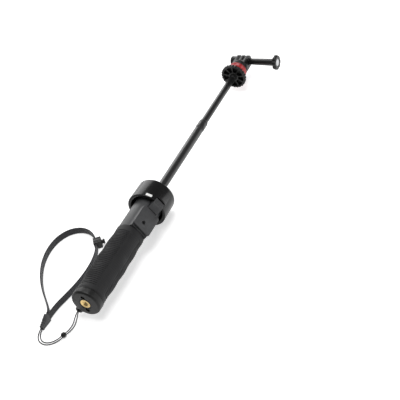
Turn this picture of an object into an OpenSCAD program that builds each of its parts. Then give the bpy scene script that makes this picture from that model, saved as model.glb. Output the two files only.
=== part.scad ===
// Telescopic selfie stick for an action camera, lying along +X on a table.
// Origin: mouth of the tripod socket, on the pole's axis, in the butt face.
// +X runs along the pole to the camera head, +Z is up, the clamp screw's knob points to -Y.

/* [Handle] */
// Length from the butt face to the bumper collar's near rim
grip_length = 140; // [139:1:142]
// Radius of the rubber sleeve between its swellings
sleeve_r = 15.2; // [15:0.1:15.6]
// Radius of the neck between the sleeve and the collar
neck_r = 15; // [14.8:0.1:15.2]
// Radius of the base cap
cap_r = 16; // [15.5:0.1:16.4]

/* [Bumper collar] */
// Outer radius of the collar
collar_r = 22; // [21.6:0.1:22.4]
// Length of the collar along the pole
collar_length = 27.5; // [26.5:0.5:28]
// Wall of the collar's open skirt
skirt_wall = 4; // [3.8:0.1:4]
// Angle of the release button above -Y, round the pole
latch_angle = 30; // [25:1:35]
// Angle of the pale index mark above -Y, round the pole
mark_angle = 68; // [66:1:72]

/* [Pole] */
// Outer diameter of the middle tube
mid_d = 10; // [9.9:0.05:10]
// Outer diameter of the inner tube
inner_d = 8; // [7.9:0.05:8]
// Wall of both tubes
tube_wall = 0.6; // [0.5:0.1:0.6]
// Middle tube showing beyond the collar
mid_reach = 128; // [125:0.5:132]
// Inner tube showing beyond the middle tube
inner_reach = 89.5; // [85:0.5:92]

/* [Head] */
// Radius of the lock wheel
wheel_r = 15.8; // [15.2:0.1:16.2]
// Number of spokes in the lock wheel
wheel_spokes = 9; // [7:1:11]
// Height of the clamp pivot above the lock wheel's open face
pivot_rise = 34; // [33:0.5:36]
// Thickness of each of the three prongs
prong_t = 3; // [2.9:0.05:3]
// Gap between two prongs
prong_gap = 3.1; // [3.1:0.05:3.2]
// Length of the clamp screw's plastic barrel
barrel_length = 32.6; // [30:0.2:34]
// Radius of the clamp screw's lobed knob
knob_r = 9; // [8.5:0.1:9.5]

/* [Wrist strap] */
// Width of the wrist webbing, which lies on its edge
webbing_w = 7.8; // [7.4:0.1:7.8]
// Thickness of the wrist webbing
webbing_t = 1.4; // [1.2:0.1:1.4]
// Diameter of the thin lanyard cord
lanyard_d = 1.2; // [1:0.1:1.2]

/* [Hidden] */
$fn = 64;

// Places along the pole, from the butt to the head
core_x = [9, 101];
sleeve_x = [9.3, 100.7];
plate_x = [102.5, 130];
rim_x = grip_length;
web_x = [151, 153.4];
neck_end_x = 158;
collar_end_x = rim_x + collar_length;
mid_x = [142, collar_end_x + mid_reach - 2.5];
mid_tip_x = collar_end_x + mid_reach;
wheel_x = mid_tip_x + inner_reach;
inner_x = [235, wheel_x + 6];
pivot_x = wheel_x + pivot_rise;

// Radii of the telescoping parts; sliding fits have 0.06 all round
slide_gap = 0.06;
mid_r = mid_d / 2;
mid_bore_r = mid_r - tube_wall;
inner_r = inner_d / 2;
inner_bore_r = inner_r - tube_wall;
guide_r = 6.8;
guide_bore_r = 5.96;
bush_r = guide_bore_r - slide_gap;
front_bush_r = 8.5;

// Release button: distances from the pole's axis, and its travel
button_w = 12;
button_foot_r = 14.6;
button_top_r = collar_r + 0.3;
button_x = [130.6, 144.4];
button_travel = 1.8;
channel_r = 12.6;
plate_face_r = 17.6;
plate_seat_r = 14.9;
plate_w = 23;
screw_x = 111.5;
screw_z = 1.5;
spring_x = 140;
brake_x = [154, 156.4];
arm_w = 7;
arm_r = 17.5;

// Lock wheel and camera mount, measured from the wheel's open face
wheel_floor_x = [wheel_x + 4.6, wheel_x + 5.8];
wheel_top_x = wheel_x + 9;
ring_x = wheel_top_x + 0.5;
mount_x = ring_x + 7;
prong_r = 7.5;
prong_pitch = prong_t + prong_gap;
stack_y = 1.5 * prong_t + prong_gap;
bolt_r = 2.42;
nut_end_y = stack_y + 7.9;
nut_seat_y = nut_end_y - 4.4;
washer_y = stack_y + 0.1;
shank_y = washer_y + 1.1;
knob_y = shank_y + barrel_length;
knob_t = 5;
inlay_r = 4.2;
stud_r = 3.1;

// The floor is the table top under the collar
floor_z = -collar_r;

// Lanyard lug on the base cap, 45 degrees below +Y
lug_angle = 45;
lug_r = 18.6;
lug_x = [1.5, 6];

// Doubled lanyard cord: out of the strap connector, along the table, through the lug and back
lanyard_route = [
    [-24, 46.9, -20], [-28, 46.8, -20.7], [-33, 45.4, -21.2], [-38, 41.8, -21.3],
    [-41, 36.5, -21.3], [-41.5, 30.5, -21.3], [-39, 24.5, -21.2], [-34, 19.3, -20.6],
    [-28, 15.9, -19.6], [-21, 14, -20.6], [-14, 13.3, -21], [-8, 13.2, -19.4],
    [-3, 13.2, -15.8], [1, 13.2, -13.6], [5.5, 13.2, -13.2], [8.4, 13.8, -13.8],
    [9.4, 15.1, -15.1], [8.4, 16.4, -16.4], [5.5, 16.9, -16.9], [1, 16.9, -17.2],
    [-4, 16.7, -18.6], [-9, 16.4, -20.6], [-14, 16.2, -21.1], [-20.5, 16.6, -20.6],
    [-27, 18.2, -19.6], [-32.3, 21.4, -20.6], [-36.6, 26, -21.2], [-38.9, 31, -21.3],
    [-38.6, 36, -21.3], [-36, 40.2, -21.3], [-31.8, 43.3, -21.2], [-28, 44.8, -20.7],
    [-24, 45.1, -20]];

// Wrist loop of webbing on its edge: out of the connector, through the slider and back
webbing_route = [
    [-10, 45.2], [-2, 45], [8, 43.8], [20, 41], [33, 38.2], [46, 36.4], [60, 36], [73, 37.2],
    [85, 40.2], [94.8, 44.7], [103.2, 50.3], [110, 57.2], [114.4, 65], [116, 73.5],
    [114.4, 82], [109.6, 89.4], [102, 94.8], [92.5, 97.8], [81, 98.4], [68, 96.4],
    [55, 92], [42, 85.4], [30, 77.4], [19, 68.4], [10, 60], [2, 52.8], [-4, 48.6], [-10, 46.8]];
connector_x = [-24, -10];
connector_y = 46;
connector_h = 8.8;
connector_w = 5.4;
bead_r = 2.9;
bead_at = [-27.5, 17.05, floor_z + bead_r];

// Slider on the webbing, between the route's two points that it covers
slider_at = [99, 47.5];
slider_angle = atan2(5.6, 8.4);
slider_l = 9;
slider_h = 9;
slider_back_y = 2.4;
slider_front_y = -6.2;
slider_button_r = 2.2;
slider_travel = 1.5;

// Colours
black = [0.05, 0.05, 0.055];
charcoal = [0.16, 0.16, 0.17];
rubber_black = [0.09, 0.09, 0.09];
steel = [0.7, 0.7, 0.72];
aluminium = [0.8, 0.8, 0.81];
brass = [0.75, 0.6, 0.3];
red = [0.75, 0.05, 0.05];
white = [0.92, 0.92, 0.9];
nylon = [0.75, 0.75, 0.7];

// ---- Shape helpers ----

// Points of an arc in the (radius, place) plane of a turned outline
function arc(centre, r, from, to, steps) =
    [for (i = [0:steps]) let (a = from + (to - from) * i / steps)
        [centre[0] + r * cos(a), centre[1] + r * sin(a)]];

// Turns an outline of [radius, x] points round the pole's axis
module turned(outline) {
    rotate([0, 90, 0]) rotate_extrude() polygon(outline);
}

module rod(x, r) {
    translate([x[0], 0, 0]) rotate([0, 90, 0]) cylinder(h = x[1] - x[0], r = r);
}

module pipe(x, r_out, r_in) {
    difference() {
        rod(x, r_out);
        rod([x[0] - 1, x[1] + 1], r_in);
    }
}

// A rod across the head, along Y
module cross_rod(y, r, sides = 64) {
    translate([pivot_x, y[0], 0]) rotate([-90, 0, 0]) cylinder(h = y[1] - y[0], r = r, $fn = sides);
}

// Turns its children so that -Y becomes the release button's side
module latch_side() {
    rotate([-latch_angle, 0, 0]) children();
}

// A block on the latch side: its places along the pole, distances from the axis, and width
module latch_block(x, r, w) {
    translate([x[0], -r[1], -w / 2]) cube([x[1] - x[0], r[1] - r[0], w]);
}

// A round hole or peg that points outwards on the latch side
module latch_peg(x, from, to, r) {
    translate([x, -from, 0]) rotate([90, 0, 0]) cylinder(h = to - from, r = r);
}

// A pad with rounded corners on the latch side
module latch_pad(x, r, w, corner) {
    translate([x[0], -r[0], -w / 2]) rotate([90, 0, 0])
        linear_extrude(r[1] - r[0]) rounded_rect([x[1] - x[0], w], corner);
}

module rounded_rect(size, r) {
    translate([r, 0]) square([size[0] - 2 * r, size[1]]);
    translate([0, r]) square([size[0], size[1] - 2 * r]);
    for (x = [r, size[0] - r], y = [r, size[1] - r])
        translate([x, y]) circle(r = r);
}

// Unit vector between the neighbours of point i of a route
function along(route, i) =
    let (step = route[min(i + 1, len(route) - 1)] - route[max(i - 1, 0)]) step / norm(step);

// Sweeps a closed section, given as [sideways, upright] points, along a route of 3-D points
module sweep(route, section) {
    sides = len(section);
    rings = len(route);
    points = [for (i = [0:rings - 1])
        let (t = along(route, i), side = cross([0, 0, 1], t), s = side / norm(side), up = cross(t, s))
            for (p = section) route[i] + p[0] * s + p[1] * up];
    walls = [for (i = [0:rings - 2], k = [0:sides - 1])
        let (a = i * sides + k, b = i * sides + (k + 1) % sides) each
            [[a, b + sides, b], [a, a + sides, b + sides]]];
    ends = [[for (k = [0:sides - 1]) k], [for (k = [sides - 1:-1:0]) (rings - 1) * sides + k]];
    polyhedron(points = points, faces = concat(walls, ends));
}

// A coil spring that stands on z = 0
module coil_spring(height, r, wire_r, turns) {
    per_turn = 12;
    steps = turns * per_turn;
    sides = 8;
    rise = (height - 2 * wire_r) / steps;
    points = [for (i = [0:steps], k = [0:sides - 1])
        let (a = 360 * i / per_turn, b = 360 * k / sides, d = r - wire_r + wire_r * cos(b))
            [d * cos(a), d * sin(a), wire_r + i * rise + wire_r * sin(b)]];
    walls = [for (i = [0:steps - 1], k = [0:sides - 1])
        let (a = i * sides + k, b = i * sides + (k + 1) % sides) each
            [[a, b, b + sides], [a, b + sides, a + sides]]];
    ends = [[for (k = [sides - 1:-1:0]) k], [for (k = [0:sides - 1]) steps * sides + k]];
    polyhedron(points = points, faces = concat(walls, ends));
}

// ---- Handle ----

// Hard plastic core that the rubber sleeve is moulded on
module grip_core() {
    color(black) difference() {
        rod(core_x, 13.4);
        rod([0, core_x[1] + 1], guide_r);
        rod([0, 14], 11);
        cap_screw_places() rod([0, 24], 1.2);
    }
}

function sleeve_radius(u) = sleeve_r + 0.9 * sin(180 * u) + 0.3 * cos(360 * 4 * u);

module grip_sleeve() {
    steps = 40;
    length = sleeve_x[1] - sleeve_x[0];
    wave = [for (i = [0:steps]) [sleeve_radius(i / steps), sleeve_x[0] + length * i / steps]];
    color(rubber_black) turned(concat([[13.4, sleeve_x[0]]], wave, [[13.4, sleeve_x[1]]]));
}

module cap_screw_places() {
    for (side = [-1, 1]) translate([0, 0, side * 8.6]) children();
}

module base_cap() {
    edge = 2.5;
    outline = concat([[0, 0], [cap_r - edge, 0]], arc([cap_r - edge, edge], edge, -90, 0, 6),
                     [[cap_r, 9], [11, 9], [11, 14], [0, 14]]);
    color(black) difference() {
        union() {
            turned(outline);
            rotate([-lug_angle, 0, 0]) {
                translate([lug_x[0], 12, -4]) cube([lug_x[1] - lug_x[0], lug_r - 12, 8]);
                translate([0, lug_r, 0]) rod(lug_x, 4);
            }
        }
        rod([-1, 12], 5.5);
        cap_screw_places() rod([-1, 15], 1.2);
        cap_screw_places() rod([-1, 2.4], 2.2);
        rotate([-lug_angle, 0, 0]) translate([0, lug_r, 0]) rod([0, 8], 2);
    }
}

// Brass insert with the tripod socket, which ends before the grip's core begins
module tripod_insert() {
    socket_depth = core_x[0] - 0.5;
    color(brass) difference() {
        rod([0, 12], 5.5);
        rod([-1, socket_depth], 2.7);
    }
}

module cap_screws() {
    color(black) cap_screw_places() difference() {
        union() {
            rod([0.6, 2.4], 2.1);
            rod([2.4, 22], 1.2);
        }
        for (turn = [0, 90]) rotate([turn, 0, 0]) translate([0, -1.2, -0.25]) cube([1.5, 2.4, 0.5]);
    }
}

module end_buffer() {
    color(rubber_black) rod([14, 17], 5.9);
}

module guide_tube() {
    color(aluminium) difference() {
        rod([15, web_x[0]], guide_r);
        rod([14, web_x[0] + 1], guide_bore_r);
    }
}

// ---- Neck with the release button's channel ----

module neck_housing() {
    color(charcoal) difference() {
        union() {
            rod([core_x[1], neck_end_x], neck_r);
            latch_side() latch_block([core_x[1], plate_x[1] + 0.4], [8, plate_seat_r], plate_w - 1.6);
        }
        rod([core_x[1] - 1, web_x[0]], guide_r);
        rod([web_x[0] - 1, web_x[1] + 1], 5.3);
        rod([web_x[1], neck_end_x + 1], 11.6);
        latch_side() {
            latch_block([plate_x[0] - 0.1, plate_x[1] + 0.5], [plate_seat_r, 20], plate_w);
            latch_block([plate_x[1] + 0.4, neck_end_x + 1], [channel_r, 20], button_w + 0.4);
            latch_block([web_x[1], neck_end_x + 1], [9, 13], arm_w + 0.6);
            latch_peg(spring_x, 8.5, channel_r + 1, 2.3);
            translate([0, 0, screw_z]) latch_peg(screw_x, 9.5, plate_seat_r + 1, 1.1);
        }
        collar_screw_places() rod([151.5, neck_end_x + 1], 1);
    }
}

module cover_plate() {
    color(charcoal) latch_side() difference() {
        latch_pad(plate_x, [plate_seat_r, plate_face_r], plate_w, 2.5);
        translate([0, 0, screw_z]) latch_peg(screw_x, 10, 20, 1.2);
        translate([0, 0, screw_z]) latch_peg(screw_x, plate_face_r - 1.7, 20, 2.2);
        translate([plate_x[1] - 2.6, -20, -7.6]) cube([4, 10, 2.8]);
    }
}

module plate_screw() {
    head_r = plate_face_r - 1.7;
    color(black) latch_side() translate([0, 0, screw_z]) difference() {
        union() {
            latch_peg(screw_x, 10, head_r, 1.1);
            latch_peg(screw_x, head_r, head_r + 0.9, 2);
        }
        translate([screw_x, -head_r - 0.3, 0]) rotate([90, 0, 0]) cylinder(h = 2, r = 1, $fn = 6);
    }
}

// ---- Bumper collar ----

module collar_screw_places() {
    for (turn = [60, 180, 300])
        rotate([turn - latch_angle, 0, 0]) translate([0, -13.3, 0]) children();
}

function collar_outline() =
    let (inner_round = 2, rim_round = 1, round_r = 3, top_r = collar_r - 0.4)
        concat([[front_bush_r, neck_end_x], [collar_r - skirt_wall, neck_end_x]],
               arc([collar_r - skirt_wall + inner_round, rim_x + inner_round], inner_round, 180, 270, 6),
               arc([collar_r - rim_round, rim_x + rim_round], rim_round, 270, 360, 4),
               arc([top_r - round_r, collar_end_x - round_r], round_r, 0, 90, 8),
               [[front_bush_r, collar_end_x]]);

module button_slot() {
    latch_side() latch_pad([rim_x - 5, button_x[1] + 1.2], [16, 25], button_w + 0.8, 2);
}

module slot_frame() {
    intersection() {
        pipe([rim_x + 1.2, button_x[1] + 4], collar_r + 0.8, collar_r - 2);
        latch_side() latch_pad([rim_x - 5, button_x[1] + 2.6], [16, 25], button_w + 3.2, 3);
    }
}

module mark_shape() {
    intersection() {
        pipe([rim_x + 1.3, rim_x + 4.5], collar_r + 0.15, collar_r - 0.7);
        rotate([-mark_angle, 0, 0]) translate([rim_x, -25, -3.5]) cube([10, 10, 7]);
    }
}

module bumper_collar() {
    color(black) difference() {
        union() {
            turned(collar_outline());
            slot_frame();
        }
        button_slot();
        mark_shape();
        collar_screw_places() rod([neck_end_x - 1, collar_end_x + 1], 1.1);
        collar_screw_places() rod([collar_end_x - 2, collar_end_x + 1], 2);
    }
}

module collar_mark() {
    color(white) mark_shape();
}

module front_bush() {
    nose_x = collar_end_x + 2.4;
    color(nylon) difference() {
        union() {
            rod([neck_end_x, collar_end_x], front_bush_r);
            rod([collar_end_x, nose_x], 7.8);
        }
        rod([neck_end_x - 1, nose_x + 1], mid_r + slide_gap);
        rod([nose_x - 1.4, nose_x + 1], 6.5);
    }
}

module wiper_seal() {
    color(rubber_black) pipe([collar_end_x + 1, collar_end_x + 2.4], 6.5, mid_r + slide_gap);
}

module collar_screws() {
    color(black) collar_screw_places() difference() {
        union() {
            rod([152, collar_end_x - 2], 1);
            rod([collar_end_x - 2, collar_end_x - 0.2], 1.9);
        }
        translate([collar_end_x - 1.2, 0, 0]) rotate([0, 90, 0]) cylinder(h = 2, r = 0.8, $fn = 6);
    }
}

// ---- Release button ----

// Thumb button: a ramp beside the plate, a flat top in the collar's slot, an arm under the skirt
module release_button() {
    ramp = [[button_x[0], button_foot_r], [button_x[0], 18.2], [button_x[0] + 5.4, button_top_r - 0.4],
            [button_x[0] + 6, button_top_r], [button_x[1] - 0.8, button_top_r],
            [button_x[1], button_top_r - 0.8], [button_x[1], button_foot_r]];
    color(charcoal) latch_side() difference() {
        union() {
            mirror([0, 1, 0]) translate([0, 0, -button_w / 2]) linear_extrude(button_w) polygon(ramp);
            latch_block([button_x[1], 157], [button_foot_r, arm_r], arm_w);
        }
        latch_peg(spring_x, button_foot_r - 1, button_foot_r + 2, 2.3);
        latch_block(brake_x, [8, 16.4], 5.4);
    }
}

// Steel plate round the middle tube; its slotted hole lets the button travel
module brake_plate() {
    hole_r = mid_r + slide_gap;
    color(steel) latch_side() difference() {
        union() {
            rod(brake_x, 9.5);
            latch_block(brake_x, [7, 16.4], 5.4);
        }
        rod([brake_x[0] - 1, brake_x[1] + 1], hole_r);
        translate([0, -button_travel, 0]) rod([brake_x[0] - 1, brake_x[1] + 1], hole_r);
        latch_block([brake_x[0] - 1, brake_x[1] + 1], [0, button_travel], 2 * hole_r);
    }
}

module button_spring() {
    color(steel) latch_side() translate([spring_x, -8.6, 0]) rotate([90, 0, 0])
        coil_spring(7.9, 2, 0.25, 5);
}

// ---- Sliding tubes ----

module mid_tube() {
    color(black) pipe(mid_x, mid_r, mid_bore_r);
}

module mid_bush() {
    color(nylon) pipe([mid_x[0], mid_x[0] + 8], bush_r, mid_r);
}

// Swaged sleeve on the middle tube's end, closing in to the inner tube
module mid_ferrule() {
    sleeve_start = mid_tip_x - 13;
    lip_r = inner_r + slide_gap;
    color(black) turned([[mid_r, sleeve_start], [mid_r + 0.22, sleeve_start + 0.4],
                         [mid_r + 0.22, mid_tip_x - 3], [mid_r - 0.15, mid_tip_x - 1.6],
                         [mid_r - 0.55, mid_tip_x - 0.3], [mid_r - 0.7, mid_tip_x],
                         [lip_r, mid_tip_x], [lip_r, mid_x[1]], [mid_r, mid_x[1]]]);
}

module inner_tube() {
    color(black) pipe(inner_x, inner_r, inner_bore_r);
}

module inner_bush() {
    color(nylon) pipe([inner_x[0], inner_x[0] + 8], mid_bore_r - slide_gap, inner_r);
}

module tip_plug() {
    color(aluminium) difference() {
        union() {
            rod([inner_x[1] - 15, inner_x[1]], inner_bore_r);
            rod([inner_x[1], wheel_top_x + 0.2], 5.5);
        }
        rod([inner_x[1] - 9, wheel_top_x + 1], 1.9);
    }
}

module head_stud() {
    color(steel) {
        rod([inner_x[1] - 9, wheel_top_x + 0.2], 1.9);
        rod([wheel_top_x + 0.2, mount_x + 5], stud_r);
    }
}

// ---- Lock wheel ----

module lock_wheel() {
    notches = 24;
    outline = [[13.6, wheel_x + 0.6], [14.2, wheel_x], [wheel_r - 0.6, wheel_x], [wheel_r, wheel_x + 0.6],
               [wheel_r, wheel_x + 3.8], [wheel_r - 0.7, wheel_x + 4.6], [11.2, wheel_top_x - 0.6],
               [10.6, wheel_top_x], [8.05, wheel_top_x], [8.05, wheel_floor_x[1]],
               [inner_r + 0.35, wheel_floor_x[1]], [inner_r + 0.35, wheel_x + 0.8],
               [6.1, wheel_x + 0.8], [6.1, wheel_floor_x[0]], [12.9, wheel_floor_x[0]]];
    color(black) difference() {
        union() {
            turned(outline);
            for (i = [0:wheel_spokes - 1]) rotate([360 * i / wheel_spokes, 0, 0])
                translate([wheel_x + 0.7, -0.65, 5.6]) cube([4.2, 1.3, 8]);
        }
        for (i = [0:notches - 1]) rotate([360 * (i + 0.5) / notches, 0, 0])
            translate([0, 0, wheel_r + 0.45]) rod([wheel_x - 1, wheel_x + 6], 0.9);
    }
}

module wheel_nut() {
    color(brass) pipe([wheel_floor_x[1], wheel_top_x], 8.05, 5.56);
}

// ---- Camera mount ----

module red_ring() {
    flare_x = ring_x + 3;
    lip_x = ring_x + 5.2;
    outline = concat([[stud_r + 0.1, ring_x], [9.2, ring_x], [9.8, ring_x + 0.6], [9.8, flare_x - 0.4],
                      [11, lip_x - 0.8]], arc([10.4, lip_x + 0.3], 0.9, -30, 90, 6),
                     [[10, mount_x], [stud_r + 0.1, mount_x]]);
    color(red) turned(outline);
}

// Round foot, three prongs with a cross bore, and a boss for the nut
module mount_body() {
    foot = [[0, mount_x], [9.2, mount_x], [9.6, mount_x + 0.5], [10.4, mount_x + 4],
            [10.4, mount_x + 5], [9.4, mount_x + 6.4], [0, mount_x + 6.4]];
    gap_floor_x = pivot_x - prong_r - 0.6;
    color(black) difference() {
        union() {
            turned(foot);
            translate([mount_x + 3, -stack_y, -prong_r])
                cube([gap_floor_x - mount_x - 3, 2 * stack_y, 2 * prong_r]);
            for (i = [-1:1]) {
                y = i * prong_pitch - prong_t / 2;
                translate([mount_x + 3, y, -prong_r]) cube([pivot_x - mount_x - 3, prong_t, 2 * prong_r]);
                cross_rod([y, y + prong_t], prong_r);
            }
            cross_rod([stack_y - 1, nut_end_y], 6);
        }
        cross_rod([-stack_y - 1, nut_end_y + 1], 2.6);
        cross_rod([nut_seat_y, nut_end_y + 1], 4.66, 6);
        rod([mount_x - 1, mount_x + 6], 5.2);
    }
}

// Threaded brass insert that turns on the head stud
module mount_insert() {
    color(brass) pipe([mount_x, mount_x + 6], 5.2, stud_r + 0.07);
}

module captive_nut() {
    color(steel) difference() {
        cross_rod([nut_seat_y, nut_end_y - 0.4], 4.62, 6);
        cross_rod([nut_seat_y - 1, nut_end_y], bolt_r + 0.08);
    }
}

module thrust_washer() {
    color(black) difference() {
        cross_rod([-washer_y - 1, -washer_y], 4.4);
        cross_rod([-washer_y - 2, -washer_y + 1], 2.6);
    }
}

// ---- Clamp screw ----

module clamp_bolt() {
    color(steel) cross_rod([-knob_y, nut_end_y - 0.8], bolt_r);
}

module thumb_knob() {
    lobes = 8;
    color(black) difference() {
        union() {
            translate([pivot_x, -shank_y, 0]) rotate([90, 0, 0])
                rotate_extrude() polygon([[0, 0], [3.6, 0], [3.9, 0.5], [4.5, barrel_length], [0, barrel_length]]);
            translate([pivot_x, -knob_y, 0]) rotate([90, 0, 0])
                rotate_extrude() polygon([[0, 0], [knob_r - 1, 0], [knob_r, 0.8], [knob_r, knob_t - 0.8],
                                          [knob_r - 1, knob_t], [0, knob_t]]);
        }
        cross_rod([-knob_y, 0], bolt_r);
        cross_rod([-knob_y - knob_t - 1, -knob_y - knob_t + 1], inlay_r);
        for (i = [0:lobes - 1]) translate([pivot_x, 0, 0]) rotate([0, 360 * i / lobes, 0])
            translate([-pivot_x + knob_r + 1.5, 0, 0]) cross_rod([-knob_y - knob_t - 1, -knob_y + 0.01], 2.3);
    }
}

module knob_insert() {
    color(steel) difference() {
        cross_rod([-knob_y - knob_t + 0.4, -knob_y - knob_t + 1], inlay_r);
        cross_rod([-knob_y - knob_t, -knob_y - knob_t + 0.7], inlay_r - 1.6);
    }
}

// ---- Wrist strap ----

module lanyard_cord() {
    sides = 8;
    section = [for (k = [0:sides - 1]) lanyard_d / 2 * [cos(360 * k / sides), sin(360 * k / sides)]];
    color(black) sweep(lanyard_route, section);
}

module cord_bead() {
    color(black) translate(bead_at) sphere(r = bead_r, $fn = 32);
}

module strap_connector() {
    color(charcoal) difference() {
        translate([connector_x[0], connector_y - connector_w / 2, floor_z]) rotate([90, 0, 90])
            linear_extrude(connector_x[1] - connector_x[0]) rounded_rect([connector_w, connector_h], 1.2);
        for (side = [0, 1]) translate([-17, connector_y - 4 + 6.6 * side, floor_z + 2])
            cube([1.4, 1.4, connector_h - 4]);
    }
}

module wrist_webbing() {
    half_t = webbing_t / 2;
    half_w = webbing_w / 2;
    section = [[half_t, -half_w + 0.4], [half_t, half_w - 0.4], [half_t - 0.3, half_w],
               [0.3 - half_t, half_w], [-half_t, half_w - 0.4], [-half_t, 0.4 - half_w],
               [0.3 - half_t, -half_w], [half_t - 0.3, -half_w]];
    color(charcoal) sweep([for (p = webbing_route) [p[0], p[1], floor_z + 4]], section);
}

module slider_place() {
    translate([slider_at[0], slider_at[1], floor_z]) rotate([0, 0, slider_angle]) children();
}

// Clamp block that the webbing runs through, with a bore for the push button
module slider_body() {
    middle = slider_h / 2;
    color(black) slider_place() difference() {
        translate([-slider_l / 2, slider_front_y, 0]) rotate([90, 0, 90]) linear_extrude(slider_l)
            rounded_rect([slider_back_y - slider_front_y, slider_h], 1.4);
        translate([-slider_l, -1, -0.05]) cube([2 * slider_l, 2, 8.3]);
        translate([0, slider_front_y - 1, middle]) rotate([-90, 0, 0]) cylinder(h = 4.6, r = 2.26);
    }
}

module slider_spring() {
    color(steel) slider_place() translate([0, -2.65, slider_h / 2]) rotate([90, 0, 0])
        coil_spring(2, 1.5, 0.2, 2);
}

module slider_button() {
    color(black) slider_place() translate([0, 0, slider_h / 2]) rotate([90, 0, 0]) {
        translate([0, 0, 4.7]) cylinder(h = 5.1, r = slider_button_r);
        translate([0, 0, 8]) cylinder(h = 1.8, r = 2.8);
    }
}

grip_core();
grip_sleeve();
base_cap();
tripod_insert();
cap_screws();
end_buffer();
guide_tube();
neck_housing();
cover_plate();
plate_screw();
bumper_collar();
collar_mark();
front_bush();
wiper_seal();
collar_screws();
button_spring();
release_button();
brake_plate();
mid_tube();
mid_bush();
mid_ferrule();
inner_tube();
inner_bush();
tip_plug();
head_stud();
lock_wheel();
wheel_nut();
red_ring();
mount_body();
mount_insert();
captive_nut();
thrust_washer();
clamp_bolt();
thumb_knob();
knob_insert();
lanyard_cord();
cord_bead();
strap_connector();
wrist_webbing();
slider_body();
slider_spring();
slider_button();
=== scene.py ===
# %% [markdown]
# # A telescopic selfie stick, piece by piece
# The pole lies along X on a pale table: grip and wrist strap at the low end, camera mount at
# the high end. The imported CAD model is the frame. Each visible piece is modelled again around
# it with more detail, and every piece gets a material built from nodes.

# %% Load the frame
from math import atan2, cos, degrees, pi, radians, sin, tau

import bmesh
import bpy
from mathutils import Matrix, Vector


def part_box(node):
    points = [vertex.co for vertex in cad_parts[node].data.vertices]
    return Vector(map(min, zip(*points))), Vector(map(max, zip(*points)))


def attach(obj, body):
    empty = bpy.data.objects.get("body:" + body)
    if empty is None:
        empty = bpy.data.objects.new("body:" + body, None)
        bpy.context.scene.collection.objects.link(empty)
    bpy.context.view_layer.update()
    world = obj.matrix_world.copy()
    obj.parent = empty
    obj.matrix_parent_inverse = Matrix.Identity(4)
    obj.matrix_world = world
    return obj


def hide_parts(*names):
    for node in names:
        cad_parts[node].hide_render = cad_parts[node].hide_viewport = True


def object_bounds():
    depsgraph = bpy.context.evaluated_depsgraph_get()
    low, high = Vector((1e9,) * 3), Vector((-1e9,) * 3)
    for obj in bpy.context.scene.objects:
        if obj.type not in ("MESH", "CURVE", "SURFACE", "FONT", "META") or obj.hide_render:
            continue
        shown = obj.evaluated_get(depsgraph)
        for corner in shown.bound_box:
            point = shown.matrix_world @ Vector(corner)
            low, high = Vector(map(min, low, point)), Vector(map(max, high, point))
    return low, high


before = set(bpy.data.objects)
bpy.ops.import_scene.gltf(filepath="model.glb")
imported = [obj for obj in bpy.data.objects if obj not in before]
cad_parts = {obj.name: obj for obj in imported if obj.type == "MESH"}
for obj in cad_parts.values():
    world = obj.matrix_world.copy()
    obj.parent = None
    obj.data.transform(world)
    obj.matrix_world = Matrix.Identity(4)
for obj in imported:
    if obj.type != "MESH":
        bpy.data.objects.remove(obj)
cad_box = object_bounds()
MM = 0.001


def ends(node, axis="X"):
    """Where a CAD node starts and stops along one axis, in millimetres."""
    low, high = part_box(node)
    return low["XYZ".index(axis)] / MM, high["XYZ".index(axis)] / MM


print(len(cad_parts), "CAD nodes, box", [round(v / MM) for corner in cad_box for v in corner])

# %% [markdown]
# ## The camera
# A long lens (97 mm) far from the stick keeps its lines nearly parallel, as in a catalogue
# picture. The camera looks down 38 degrees from beyond the butt end, and leans 18 degrees. We
# give the camera's own three axes as directions in the model, because that says exactly where
# it looks, and turn them into its matrix.

# %% Camera
to_right = Vector((0.39922, -0.88490, -0.23995))
to_top = Vector((0.65464, 0.09188, 0.75034))
backwards = Vector((-0.64193, -0.45663, 0.61597))

bpy.ops.object.select_all(action="DESELECT")
bpy.ops.object.camera_add()
camera = bpy.context.object
camera.matrix_world = Matrix.Translation((-0.57271, -0.57834, 0.70741)) @ Matrix(
    (to_right, to_top, backwards)).transposed().to_4x4()
camera.data.lens = 97.29
camera.data.sensor_width = 36
bpy.context.scene.camera = camera
print("camera", round(camera.location.length, 2), "m from the tripod socket")

# %% [markdown]
# ## Wiring shader nodes
# The room and every material are small nets of shader nodes. One short function fills a node's
# inputs with values or links them to other nodes' outputs, and another adds a node and sets its
# properties.

# %% Helpers that fill and add nodes
def fill(node, inputs):
    """Gives inputs their values. Where a value is another node's socket, it is linked."""
    for key, value in inputs.items():
        if isinstance(value, bpy.types.NodeSocket):
            node.id_data.links.new(value, node.inputs[key])
        else:
            node.inputs[key].default_value = value


def put(tree, kind, inputs=None, **settings):
    """Adds a shader node, sets its properties, and fills its inputs."""
    made = tree.nodes.new("ShaderNode" + kind)
    for key, value in settings.items():
        setattr(made, key, value)
    fill(made, inputs or {})
    return made


def sums(tree, operation, first, second=0.0):
    """A Math node; gives its output."""
    return put(tree, "Math", {0: first, 1: second}, operation=operation).outputs[0]


def new_group(name, inputs, outputs):
    """Starts a node group with float inputs (name: default) and float outputs."""
    group = bpy.data.node_groups.new(name, "ShaderNodeTree")
    for key, value in inputs.items():
        socket = group.interface.new_socket(key, in_out="INPUT", socket_type="NodeSocketFloat")
        socket.default_value = value
    for key in outputs:
        group.interface.new_socket(key, in_out="OUTPUT", socket_type="NodeSocketFloat")
    start = group.nodes.new("NodeGroupInput").outputs
    end = group.nodes.new("NodeGroupOutput").inputs
    return group, start, end


# %% [markdown]
# ## Table and light
# The stick lies on a plain pale table. The camera sees a pure white room, but the same room
# lights the pieces much less, so that black plastic stays black. Black gloss shows its shape
# only through what it mirrors, so three soft panels give the highlights: one on the upper left,
# one above, and a weaker one to the right. The table itself glows a little.

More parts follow.
